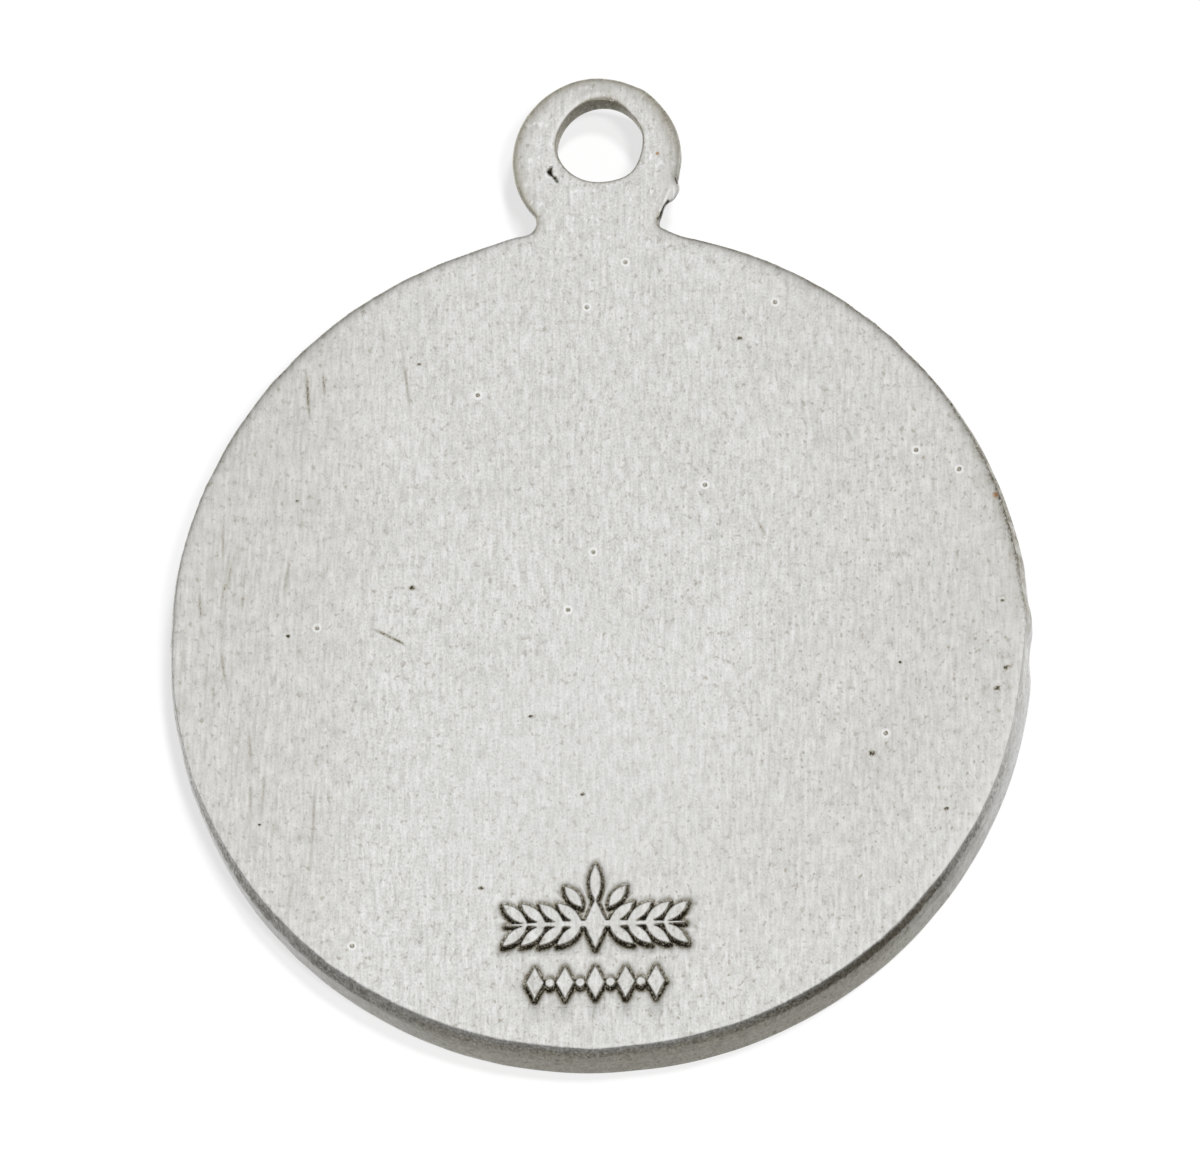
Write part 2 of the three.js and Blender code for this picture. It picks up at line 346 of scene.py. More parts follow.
def back_relief(x, y):
    """Height of the back's surface, how much darker it is from patina and painted shade, and its painted
    highlights.
    """
    x, y = np.asarray(x, float), np.asarray(y, float)
    z = 0.006 * lattice_noise(x * 0.28 + 40, y * 0.22 + 40, 3)
    z += 0.003 * lattice_noise(x * 0.9, y * 0.5 + 9, 4)
    # Painted shade: darker towards the sides and the top, for how the light falls off over the back
    dark = 0.02 * (x / 9) ** 2 + 0.02 * smooth((y + 5) / 10)
    # Darker towards the lower right and the far left, a little darker to the right, lighter near the lower
    # right rim
    dark += 0.035 * smooth((x - y - 3) / 7) + 0.035 * smooth((-x - 4.5) / 2.5)
    lower_right = smooth((np.hypot(x, y) - 7.5) / 2) * (x > 0) * smooth(0.5 - y / 6)
    dark += 0.014 * smooth((x - 2) / 4) - 0.02 * lower_right
    # Darker along the loop's rim: painted shade of its rounded edge, with patina
    inset = LOOP_RADIUS - np.hypot(x, y - LOOP_Y)
    dark += 0.05 * hump(np.maximum(inset, 0), 0, 0.3) * smooth((y - 10.4) / 0.5)
    # Darker over the top of the hole, where the back rounds into it: painted shade, with patina
    off_hole = np.hypot(x - HOLE_MIDDLE[0], y - HOLE_MIDDLE[1]) - HOLE_RADIUS
    over_hole = hump(x, HOLE_MIDDLE[0] - 0.05, 0.45) * (y > HOLE_MIDDLE[1])
    dark += 0.34 * hump(off_hole, 0, 0.25) * over_hole
    bright = np.zeros_like(x)
    inside = (x > MARK_BOX[0][0]) & (x < MARK_BOX[1][0]) & (y > MARK_BOX[0][1]) & (y < MARK_BOX[1][1])
    if inside.any():
        depth, tarnish_and_shade = ornament(x[inside], y[inside])
        z[inside] -= depth
        dark[inside] += tarnish_and_shade
    # Each pit is darker round its hollow, with a painted highlight ring round it
    for pit in PITS:
        r = np.hypot(x - pit["x"], y - pit["y"]) / PIT_RADIUS
        z -= PIT_DEPTH * np.exp(-(r**2)) - PIT_LIP * hump(r, 2.1, 0.6)
        dark += 0.5 * hump(r, 1.0, 0.6)
        bright += 1.5 * hump(r, 2.5, 0.8)
    for number, speck in enumerate(SPECKS):
        dx, dy = x - speck["x"], y - speck["y"]
        ragged = 1 + 0.45 * lattice_noise(dx / speck["radius"] + 7 * number, dy / speck["radius"] + 40, 6)
        r = np.hypot(dx * 0.75, dy * 1.1) / (speck["radius"] * ragged)
        z -= 0.012 * np.exp(-(r**2))
        dark += 0.8 * np.exp(-(r**3) * 1.3)
    for number, scratch in enumerate(SCRATCHES):
        r, share = segment_distance(x, y, scratch["from"], scratch["to"])
        broken = smooth(0.8 + 0.7 * lattice_noise(y * 4 + 30 * number, x * 0.5 + number, 7))
        taper = np.sin(np.pi * np.clip(share, 0.06, 0.94)) ** 0.6
        fade = hump(r, 0, SCRATCH_WIDTH) * taper * broken
        z -= SCRATCH_DEPTH * fade
        dark += scratch["dark"] * fade
    for a, b in zip(GOUGE[:-1], GOUGE[1:]):
        r, share = segment_distance(x, y, a["at"], b["at"])
        cut = np.exp(-((r / (a["width"] * (1 - share) + b["width"] * share)) ** 2))
        z -= GOUGE_DEPTH * cut
        dark += 0.95 * smooth(cut * 1.5 - 0.4) * smooth(1.1 + 0.8 * lattice_noise(x * 9, y * 9, 31))
    # Painted highlight on the lump beside the neck
    r = np.hypot(x - LUMP_HIGHLIGHT["x"], y - LUMP_HIGHLIGHT["y"]) / LUMP_HIGHLIGHT["radius"]
    bright += 0.35 * np.exp(-(r**2))
    return z, np.clip(dark, 0, 1), np.clip(bright, 0, 1)


# Mesh of the medal, one closed surface

class Surface:
    """Collects vertices with their weights of patina with painted shade, of highlights and of zones, and
    the faces between them.
    """

    def __init__(self):
        self.parts = []
        self.weights = {"tarnish_and_shade": [], "torn": [], "bright": [], "aged": []}
        self.faces = []
        self.count = 0

    def add(self, points, tarnish_and_shade=0.0, torn=0.0, bright=0.0, aged=0.0):
        points = np.asarray(points, float)
        start = self.count
        self.parts.append(points)
        for name, value in (("tarnish_and_shade", tarnish_and_shade), ("torn", torn), ("bright", bright), ("aged", aged)):
            self.weights[name].append(np.broadcast_to(value, len(points)).astype(float))
        self.count += len(points)
        return np.arange(start, self.count)

    def strip(self, upper, lower):
        """Quads between two closed rows, facing out where they run anticlockwise seen from above."""
        ring = len(upper)
        for i in range(ring):
            j = (i + 1) % ring
            self.faces.append((upper[i], lower[i], lower[j], upper[j]))

    def fill(self, rings, points, facing_up):
        """Triangles of a flat region between rings of vertices, over extra points inside it."""
        every = np.concatenate(self.parts)
        ids = np.concatenate(rings + [points]).astype(int)
        flat = every[ids][:, :2]
        edges = []
        start = 0
        for ring in rings:
            size = len(ring)
            edges += [(start + i, start + (i + 1) % size) for i in range(size)]
            start += size
        result = delaunay_2d_cdt([Vector(p) for p in flat], edges, [], 0, 1e-7, True)
        made, triangles, origin = result[0], result[2], result[3]
        source = [o[0] if o else -1 for o in origin]
        if min(source) < 0 or len(made) != len(flat):
            raise RuntimeError("the region's rings cross or touch")
        tri = np.array([[source[v] for v in t] for t in triangles])
        middle = flat[tri].mean(axis=1)
        keep = np.zeros(len(tri), int)
        for ring in rings:
            keep += in_polygon(middle, every[ring][:, :2])
        tri = tri[keep % 2 == 1]
        a, b, c = flat[tri[:, 0]], flat[tri[:, 1]], flat[tri[:, 2]]
        area = (b[:, 0] - a[:, 0]) * (c[:, 1] - a[:, 1]) - (b[:, 1] - a[:, 1]) * (c[:, 0] - a[:, 0])
        flip = (area > 0) != facing_up
        tri[flip] = tri[flip][:, ::-1]
        self.faces += [tuple(t) for t in ids[tri]]

    def to_object(self, name):
        points = np.concatenate(self.parts) * MM
        mesh = bpy.data.meshes.new(name)
        mesh.from_pydata(points.tolist(), [], [tuple(int(v) for v in f) for f in self.faces])
        for label, values in self.weights.items():
            attribute = mesh.attributes.new(label, "FLOAT", "POINT")
            attribute.data.foreach_set("value", np.concatenate(values).astype(np.float32))
        mesh.polygons.foreach_set("use_smooth", [True] * len(mesh.polygons))
        mesh.update()
        mesh.validate()
        made = bpy.data.objects.new(name, mesh)
        bpy.context.scene.collection.objects.link(made)
        return made


def in_polygon(points, polygon):
    """1 for each point inside the polygon, 0 for the rest."""
    x, y = points[:, 0], points[:, 1]
    inside = np.zeros(len(points), int)
    for (ax, ay), (bx, by) in zip(polygon, np.roll(polygon, -1, axis=0)):
        if ay == by:
            continue
        crosses = (ay > y) != (by > y)
        inside ^= (crosses & (x < (bx - ax) * (y - ay) / (by - ay) + ax)).astype(int)
    return inside


def grid_points(low, high, pitch):
    """A staggered grid of points over a box."""
    rows = np.arange(low[1], high[1], pitch * 0.866)
    points = []
    for number, y in enumerate(rows):
        x = np.arange(low[0] + (number % 2) * pitch / 2, high[0], pitch)
        points.append(np.stack([x, np.full_like(x, y)], 1))
    return np.concatenate(points)


def disc_points(x, y, radii, count):
    points = [np.array([[x, y]])]
    for number, radius in enumerate(radii):
        turn = np.arange(count) * 2 * math.pi / count + number * math.pi / count
        points.append(np.stack([x + radius * np.cos(turn), y + radius * np.sin(turn)], 1))
    return np.concatenate(points)


def line_points(points, offsets, pitch):
    rows = []
    for a, b in zip(points[:-1], points[1:]):
        a, b = np.array(a), np.array(b)
        length = np.hypot(*(b - a))
        side = np.array([-(b - a)[1], (b - a)[0]]) / length
        share = np.arange(0, length, pitch) / length
        for offset in offsets:
            rows.append(a + share[:, None] * (b - a) + side * offset)
    return np.concatenate(rows)


def apart(points, gap, others=(), from_kept=False):
    """The points that lie at least a gap from every one of the others, or also from those kept before."""
    cells = {}
    for p in others:
        cells.setdefault((int(p[0] // gap), int(p[1] // gap)), []).append(p)
    kept = []
    for p in points:
        cx, cy = int(p[0] // gap), int(p[1] // gap)
        close = [q for dx in (-1, 0, 1) for dy in (-1, 0, 1) for q in cells.get((cx + dx, cy + dy), ())]
        if all((p[0] - q[0]) ** 2 + (p[1] - q[1]) ** 2 >= gap * gap for q in close):
            kept.append(p)
            if from_kept:
                cells.setdefault((cx, cy), []).append(p)
    return np.array(kept).reshape(-1, 2)


def back_points(border, hole):
    """Points for the back: a coarse grid, with finer ones where there is something to show."""
    fine = [grid_points(*MARK_BOX, 0.03)]
    for pit in PITS:
        fine.append(disc_points(pit["x"], pit["y"], (0.022, 0.045, 0.07, 0.095, 0.13), 12))
    for speck in SPECKS:
        radii = [speck["radius"] * k for k in (0.4, 0.8, 1.2, 1.7, 2.3)]
        fine.append(disc_points(speck["x"], speck["y"], radii, 10))
    for scratch in SCRATCHES:
        fine.append(line_points((scratch["from"], scratch["to"]), (-0.055, -0.022, 0, 0.022, 0.055), 0.07))
    fine.append(grid_points(*GOUGE_BOX, 0.028))
    fine.append(grid_points(*LUMP_BOX, 0.04))
    fine.append(grid_points(*LOOP_BOX, 0.09))
    fine = apart(np.concatenate(fine), 0.012, from_kept=True)
    coarse = apart(grid_points(*BACK_BOX, 0.32), 0.14, fine)
    points = np.concatenate([fine, coarse])
    inside = (in_polygon(points, border) == 1) & (in_polygon(points, hole) == 0)
    points = points[inside]
    return apart(points, 0.03, np.concatenate([border, hole]))


# Rows of the edge, from the back down: inset from the outline and height. Both lists are equally long,
# since the back's edge, rubbed rounder at the top of the disc than at its foot, blends one into the other.
FLARE = DISC_RADIUS - LAND_RADIUS
SHARP_ROWS = (
    (0.34, 0.0), (0.2, 0.0), (0.11, -0.001), (0.06, -0.004), (0.03, -0.011), (0.01, -0.026), (0.0, -0.05),
)
ROUND_ROWS = (
    (0.34, 0.0), (0.24, -0.004), (0.16, -0.014), (0.1, -0.03), (0.05, -0.05), (0.015, -0.08), (0.0, -0.12),
)
FLARE_TOP = 0.12
DISC_DEPTHS = [FLARE_TOP + (LOOP_THICKNESS - FLARE_TOP) * k / 11 for k in range(1, 12)]
LOOP_BACK_ROUNDING = (0.3, 0.09)
LOOP_FRONT_ROUNDING = (0.25, 0.34)
TORN_FROM, TORN_TO = 6, 10.5
FLARE_FOOT, FLARE_FOOT_RISE = 0.8, 0.28


def loop_rows(turn):
    """The loop's rows: inset and height by column. The underside is cut back most beside the neck."""
    across, down = LOOP_BACK_ROUNDING
    degrees = np.degrees(turn)
    wide = 1 - about(degrees, 85, 42)
    crisp = 1 - 0.75 * about(degrees, -47, 20) - 0.5 * about(degrees, -137, 16)
    across, down = (across + 0.13 * wide) * crisp, (down + 0.05 * wide) * crisp
    corner = np.linspace(0, math.pi / 2, 7)
    rows = [(across * (1 - math.sin(t)), -down * (1 - math.cos(t))) for t in corner]
    cut = about(degrees, -42, 24) + 0.7 * about(degrees, -140, 24)
    across, up = LOOP_FRONT_ROUNDING[0] + 0.3 * cut, LOOP_FRONT_ROUNDING[1] + 0.34 * cut
    foot = up - LOOP_THICKNESS
    rows += [(0.0, -down + (foot + down) * k / 6) for k in range(1, 7)]
    corner = np.linspace(0.3, math.pi / 2, 5)
    rows += [(across * (1 - math.cos(t)), foot - up * math.sin(t)) for t in corner]
    return rows


def break_tarnish(turn):
    """How dark the torn band is round the disc: darkest at the lower right, clean at the right."""
    degrees = np.degrees(turn)
    amount = 0.3 + 0.8 * about(degrees, -47, 15) + 0.15 * about(degrees, -70, 15)
    amount += 0.3 * about(degrees, -152, 12)
    patchy = 1 + 0.2 * lattice_noise(degrees / 5 + 90, 0 * turn, 14)
    return amount * (1 - about(degrees, -4, 20)) * patchy


def edge_highlight(turn):
    """How much painted highlight the thin edge of the back gets round the disc: most at the right, where
    it catches the light.
    """
    degrees = np.degrees(turn)
    return about(degrees, -22, 15) + 0.8 * about(degrees, -1, 5)


def upper_edge(surface):
    """The edge from the back down to the height of the loop's underside, as rows of vertices.

    Round the disc, upwards is where it is rubbed round, dull where it is grey-brown, crisp where it is
    sharp, and calm where it was cut clean. On the loop, lobe is the lump beside the neck."""
    rows = []
    degrees = np.degrees(TURN)
    upwards = smooth(0.55 + 0.8 * np.sin(TURN + 0.35)) * (1 - 0.92 * about(degrees, -9, 19))
    upwards = upwards * (1 - 0.55 * hump(np.abs(turned(degrees, 90)), 10, 7))
    dull = np.exp(-((turned(degrees, 16) / 16) ** 4))
    upwards = upwards * (1 - 0.35 * dull)
    face_out, land_out = faults(TURN, FACE_FAULTS), faults(TURN, LAND_FAULTS)
    loop_out = faults(LOOP_TURN, LOOP_FAULTS)
    flare_foot = FLARE_FOOT - FLARE_FOOT_RISE * about(degrees, -130, 30)
    crisp = about(degrees, -26, 18)
    calm = 1 - 0.8 * about(degrees, -4, 20)
    ripple = 0.01 * calm * lattice_noise(degrees * 0.35 + 500, 0 * TURN + 3, 8)
    nibble = lattice_noise(degrees * 1.7 + 700, 0 * TURN + 5, 9)
    loop_degrees = np.degrees(LOOP_TURN)
    lobe = np.exp(-((turned(loop_degrees, BURR["at"]) / BURR["width"]) ** 4))
    # Darkening of the loop's rim: worn patina with painted shade, less at its right end and at its left;
    # the shaded part is painted shade, most at its upper right
    loop_wear_and_shade = 0.19 * (1 - about(loop_degrees, -8, 32)) - 0.14 * about(loop_degrees, 165, 35)
    shaded = 0.03 + 0.1 * about(loop_degrees, 22, 26)
    land_age = np.exp(-((turned(degrees, -80) / 45) ** 4))
    warm = 1 - 0.8 * about(loop_degrees, -18, 34)
    for number, loop_row in enumerate(loop_rows(LOOP_TURN)):
        if number < len(SHARP_ROWS):
            sharp, rubbed = SHARP_ROWS[number], ROUND_ROWS[number]
            disc_inset = sharp[0] * (1 - upwards) + rubbed[0] * upwards
            if 2 < number < 6:
                disc_inset = disc_inset * (1 - 0.65 * crisp)
            disc_height = sharp[1] * (1 - upwards) + rubbed[1] * upwards
        else:
            disc_height = -DISC_DEPTHS[number - len(SHARP_ROWS)]
            disc_inset = FLARE * np.minimum(1.0, (-disc_height - FLARE_TOP) / (flare_foot - FLARE_TOP))
        depth = max(0.0, number - 2) / (len(SHARP_ROWS) + len(DISC_DEPTHS) - 3)
        of_loop = OF_LOOP * (1 - depth) + OF_LOOP_BELOW * depth
        inset = disc_inset * (1 - of_loop) + loop_row[0] * of_loop
        height = disc_height * (1 - of_loop) + loop_row[1] * of_loop
        disc_out = face_out * (1 - depth) + land_out * depth + ripple
        shown = min(1.0, number / 4)
        out = (disc_out * (1 - of_loop) + loop_out * of_loop) * shown - inset
        lump = smooth((number - 0.5) / 3) * (1 - smooth((depth - 0.35) / 0.45))
        out = out + BURR["out"] * lobe * of_loop * lump
        torn = np.zeros(COLUMNS)
        if number in (4, 5):
            torn = 0.09 * (number - 3) * break_tarnish(TURN) * (1 - of_loop)
        if TORN_FROM <= number <= TORN_TO + 3:
            torn = min(1.0, (number - TORN_FROM + 1) / 2) * (1 - smooth((number - TORN_TO) / 2))
            rough = lattice_noise(degrees * 1.5 + 400, 0 * TURN + number * 0.45, 11)
            out = out + (0.014 if number < TORN_TO + 2 else 0.006) * rough * calm * (1 - 0.6 * of_loop)
            torn = torn * break_tarnish(TURN) * (1 - of_loop) + 0.45 * torn * of_loop
        if 3 <= number <= TORN_FROM:
            height = height - 0.006 * np.clip(nibble, 0, 1) * (1 - of_loop)
        xy = OUTLINE + OUT * out[:, None]
        bumps, dark, bright = back_relief(xy[:, 0], xy[:, 1])
        top = 1.0 if number < 3 else max(0.0, 1 - (number - 2) / 4)
        edge = math.exp(-(((number - 5.5) / 2.2) ** 2))
        # Darkening along the edge: worn patina with painted shade where the disc's rubbed edge and the
        # loop's rim round over, grey-brown patina on the flare, dark notches, and painted shade on the
        # loop
        wear_and_shade = edge * (0.34 * upwards * (1 - of_loop) * (1 - 0.9 * dull) + loop_wear_and_shade * of_loop)
        flare_wear = 0.36 * smooth((number - 5.5) / 2) + 0.12 * hump(number, 2.5, 1.6)
        wear_and_shade = wear_and_shade + dull * flare_wear * (1 - of_loop)
        wear_and_shade = wear_and_shade * (1 + 0.5 * nibble) * (1 - lobe * of_loop)
        nick = 0.7 * about(loop_degrees, -43, 7) + 0.45 * about(loop_degrees, -15.5, 3)
        wear_and_shade = wear_and_shade + nick * hump(number, 6, 1.7)
        wear_and_shade = wear_and_shade + 0.16 * about(loop_degrees, -8, 13) * smooth((number - 4) / 3) * of_loop
        wear_and_shade = wear_and_shade + shaded * hump(number, 3, 3) * of_loop
        # Painted highlights: a thin line along the back's edge, strongest at the right, a line in the
        # grey-brown stretch, and a patch on the lump beside the neck
        lit = hump(number, 3.4, 1.7) * edge_highlight(TURN) * (1 - of_loop) * (0.75 + 0.5 * nibble)
        lit = lit + 0.9 * dull * hump(number, 4.6, 1.6) * (1 - of_loop)
        lit = lit + 0.6 * lobe * of_loop * hump(number, 5, 3)
        loop_age = min(1.0, max(0, number - 1.3) / 2.8) * (1 - 0.5 * smooth((number - 7) / 4))
        aged = min(1.0, max(0, number - 6) / 3) * land_age * (1 - of_loop) + loop_age * of_loop * warm
        points = np.column_stack([xy, height + bumps * top])
        rows.append(surface.add(points, np.clip(dark * top + wear_and_shade, 0, 1), torn, bright * top + lit, aged))
    for upper, lower in zip(rows[:-1], rows[1:]):
        surface.strip(upper, lower)
    return rows


# How the hole departs from a circle, by degrees round it, for its back edge and for its wall below
HOLE_FAULTS = table(
    ("at", "width", "out"),
    (-48.0, 22.0, 0.075), (42.0, 24.0, -0.08), (146.0, 34.0, -0.085), (90.0, 16.0, 0.02),
)
HOLE_FOOT_FAULTS = table(
    ("at", "width", "out"),
    (60.0, 55.0, 0.06), (-48.0, 22.0, 0.07),
)


def hole_wall(surface):
    """The hole's wall, from the back to the underside: rubbed and dark at its top, with a painted
    highlight at its left.
    """
    profile = [(0.12, 0.0), (0.07, -0.004), (0.035, -0.014), (0.012, -0.035), (0.0, -0.07)]
    profile += [(0.0, -0.07 - (LOOP_THICKNESS - 0.22) * k / 5) for k in range(1, 6)]
    profile += [(0.03, 0.06 - LOOP_THICKNESS), (0.1, -LOOP_THICKNESS)]
    turn = -np.arange(HOLE_COLUMNS) * 2 * math.pi / HOLE_COLUMNS
    degrees = np.degrees(turn)
    worn = about(degrees, 75, 24)
    lit = about(degrees, 148, 22)
    patchy = lattice_noise(degrees / 6 + 60, 0 * turn, 17)
    rows = []
    for number, (wider, z) in enumerate(profile):
        depth = number / (len(profile) - 1)
        out = faults(turn, HOLE_FAULTS) * (1 - depth) + faults(turn, HOLE_FOOT_FAULTS) * depth
        radius = HOLE_RADIUS + wider * (1 + 0.5 * worn * (number < 5)) + out
        x = HOLE_MIDDLE[0] + radius * np.cos(turn)
        y = HOLE_MIDDLE[1] + radius * np.sin(turn)
        height = z * (1 + 0.8 * worn * (number < 4))
        dark = (0.24 * worn + 0.2) * hump(number, 5, 2.6) * (1 + 0.4 * patchy)
        dark = dark + 0.17 * worn * hump(number, 1.5, 2.2)
        dark = dark + 0.22 * about(degrees, 150, 26) * hump(number, 8, 3)
        # Painted highlight on the hole's left wall
        bright = 0.9 * lit * hump(number, 1.5, 1.5)
        points = np.column_stack([x, y, np.zeros_like(x) + height])
        torn = 0.0 if number < 4 else 0.45
        rows.append(surface.add(points, np.clip(dark, 0, 1), torn, bright, min(1.0, number / 4)))
    for upper, lower in zip(rows[:-1], rows[1:]):
        surface.strip(upper, lower)
    return rows[0], rows[-1]


def lower_edge(surface, last_row):
    """The land below the loop, the front's rim and the slope to its field; returns the neck's row and the
    field's border."""
    neck_turn = np.linspace(NECK_TURN, math.pi - NECK_TURN, NECK_COLUMNS)[1:-1]
    neck = np.column_stack([LAND_RADIUS * np.cos(neck_turn), LAND_RADIUS * np.sin(neck_turn)])
    neck_row = surface.add(np.column_stack([neck, np.full(len(neck), -LOOP_THICKNESS)]), 0.3, aged=1.0)
    ring = np.concatenate([last_row[:1], neck_row, last_row[LEFT_END:]])
    every = np.concatenate(surface.parts)
    turn = np.arctan2(every[ring][:, 1], every[ring][:, 0])
    wave = np.hypot(every[ring][:, 0], every[ring][:, 1]) - LAND_RADIUS
    land_age = np.exp(-((turned(np.degrees(turn), -80) / 45) ** 4))
    foot = FRONT_ROUNDING - THICKNESS
    profile = [(0.0, -LOOP_THICKNESS + (foot + LOOP_THICKNESS) * k / 4) for k in range(1, 5)]
    corner = np.linspace(0, math.pi / 2, 6)[1:]
    profile += [(FRONT_ROUNDING * (1 - math.cos(t)), foot - FRONT_ROUNDING * math.sin(t)) for t in corner]
    profile += [(FRONT_ROUNDING + RIM_WIDTH * k / 3, -THICKNESS) for k in (1, 2)]
    inner = FRONT_ROUNDING + RIM_WIDTH
    profile += [(inner - 0.06, -THICKNESS), (inner, 0.03 - THICKNESS)]
    profile += [(inner + RIM_SLOPE * 0.5, FIELD_Z - 0.26), (inner + RIM_SLOPE * 0.9, FIELD_Z - 0.05)]
    profile += [(inner + RIM_SLOPE + 0.06, FIELD_Z)]
    above = ring
    for number, (inset, z) in enumerate(profile):
        radius = LAND_RADIUS - inset + wave * max(0.0, 1 - number / 8)
        if number < 4:
            radius = radius + 0.003 * lattice_noise(np.degrees(turn) * 0.5 + 300, 0 * turn + number, 12)
        points = np.column_stack([radius * np.cos(turn), radius * np.sin(turn), np.full(len(turn), z)])
        dark = 0.35 * smooth((inset - inner) / RIM_SLOPE) if inset > inner else 0.0
        below = surface.add(points, dark, aged=land_age if inset < FRONT_ROUNDING else 0.5)
        surface.strip(above, below)
        above = below
    return neck_row, above


# Plain cross in relief on the front
CROSS_HEIGHT, CROSS_MARGIN, CROSS_SPAN, CROSS_ARM, CROSS_BEVEL = 0.36, 3.0, 7.6, 1.9, 0.22
CROSS_TOP = FIELD_RADIUS - CROSS_MARGIN
FIELD_EDGE = 0.25
CROSS_BAR_Y = CROSS_TOP - 0.34 * 2 * CROSS_TOP


def cross_relief(x, y):
    """Height of the front's field over its ground, and its patina."""
    upright = np.maximum(np.abs(x) - CROSS_ARM / 2, np.abs(y) - CROSS_TOP)
    bar = np.maximum(np.abs(x) - CROSS_SPAN / 2, np.abs(y - CROSS_BAR_Y) - CROSS_ARM / 2)
    inward = -np.minimum(upright, bar)
    rise = smooth(inward / CROSS_BEVEL * 0.8 + 0.1)
    pillow = 0.06 * smooth((inward - CROSS_BEVEL) / (CROSS_ARM / 2))
    height = np.where(inward > -0.03, (CROSS_HEIGHT - 0.06) * rise + pillow, 0.0)
    ground = 0.008 * lattice_noise(x * 3.3, y * 3.3, 21) * (inward < 0)
    shade = np.where(inward > 0, 0.35 * hump(inward, 0, 0.06), 0.35 * np.exp(inward / 0.35) + 0.22)
    return height + ground, shade


def front_field(surface, border):
    """The front's sunk field with its cross, inside its border."""
    near = FIELD_RADIUS - FIELD_EDGE
    points = grid_points((-near, -near), (near, near), 0.26)
    half, side = CROSS_ARM / 2, CROSS_SPAN / 2
    low_y, high_y = CROSS_BAR_Y - half, CROSS_BAR_Y + half
    corners = [(-half, -CROSS_TOP), (half, -CROSS_TOP), (half, low_y), (side, low_y), (side, high_y)]
    corners += [(half, high_y), (half, CROSS_TOP), (-half, CROSS_TOP), (-half, high_y), (-side, high_y)]
    corners += [(-side, low_y), (-half, low_y), (-half, -CROSS_TOP)]
    edge = line_points(corners, (-0.04, 0.0, 0.045, 0.09, 0.14, 0.19, 0.25), 0.07)
    edge = apart(edge, 0.03, from_kept=True)
    points = np.concatenate([edge, apart(points, 0.09, edge)])
    points = points[np.hypot(points[:, 0], points[:, 1]) < near]
    height, shade = cross_relief(points[:, 0], points[:, 1])
    ids = surface.add(np.column_stack([points, FIELD_Z - height]), shade, aged=0.5)
    surface.fill([border], ids, facing_up=False)


def make_medal():
    surface = Surface()
    rows = upper_edge(surface)
    hole_top, hole_bottom = hole_wall(surface)
    every = np.concatenate(surface.parts)
    points = back_points(every[rows[0]][:, :2], every[hole_top][:, :2])
    z, dark, bright = back_relief(points[:, 0], points[:, 1])
    ids = surface.add(np.column_stack([points, z]), dark, 0.0, bright)
    surface.fill([rows[0], hole_top], ids, facing_up=True)
    neck_row, field_border = lower_edge(surface, rows[-1])
    underside = np.concatenate([rows[-1][: LEFT_END + 1], neck_row[::-1]])
    surface.fill([underside, hole_bottom], np.array([], int), facing_up=False)
    front_field(surface, field_border)
    return surface.to_object("medal_body")


# Silver

